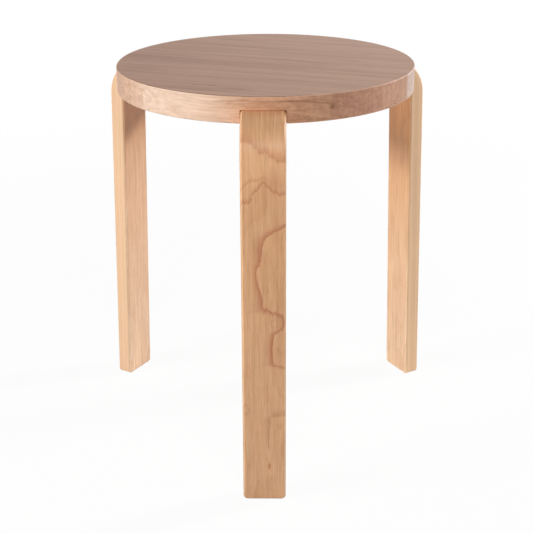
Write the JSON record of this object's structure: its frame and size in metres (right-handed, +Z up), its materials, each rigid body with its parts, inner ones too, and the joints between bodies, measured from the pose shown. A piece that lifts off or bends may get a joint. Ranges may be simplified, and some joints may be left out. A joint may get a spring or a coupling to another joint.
{
  "type": "stacking stool",
  "caption": "Round stacking stool: an edge-glued wooden seat on bent laminated legs, each let into a notch in the rim and bolted from below.",
  "frame": {"origin": "on the floor, under the centre of the round seat", "axes": "+Z up along the seat's axis, the front leg towards -Y, +X to the right of a viewer who faces the front leg"},
  "size_m": [0.4104, 0.3969, 0.45],
  "materials": {
    "seat_wood": "satin lacquer",
    "leg_veneer": "satin lacquer",
    "leg_laminate": "satin lacquer on veneer edges",
    "bolt_steel": "zinc plated",
    "insert_brass": "plain"
  },
  "bodies": {
    "root": {"seat_board_1": "seat_wood", "seat_board_2": "seat_wood", "seat_board_3": "seat_wood", "seat_board_4": "seat_wood", "seat_board_5": "seat_wood", "seat_board_6": "seat_wood", "seat_board_7": "seat_wood", "front_leg_outer_veneer": "leg_veneer", "front_leg_core": "leg_laminate", "front_leg_inner_veneer": "leg_veneer", "front_leg_bolts": "bolt_steel", "front_leg_inserts": "insert_brass", "right_leg_outer_veneer": "leg_veneer", "right_leg_core": "leg_laminate", "right_leg_inner_veneer": "leg_veneer", "right_leg_bolts": "bolt_steel", "right_leg_inserts": "insert_brass", "left_leg_outer_veneer": "leg_veneer", "left_leg_core": "leg_laminate", "left_leg_inner_veneer": "leg_veneer", "left_leg_bolts": "bolt_steel", "left_leg_inserts": "insert_brass"}
  },
  "joints": []
}
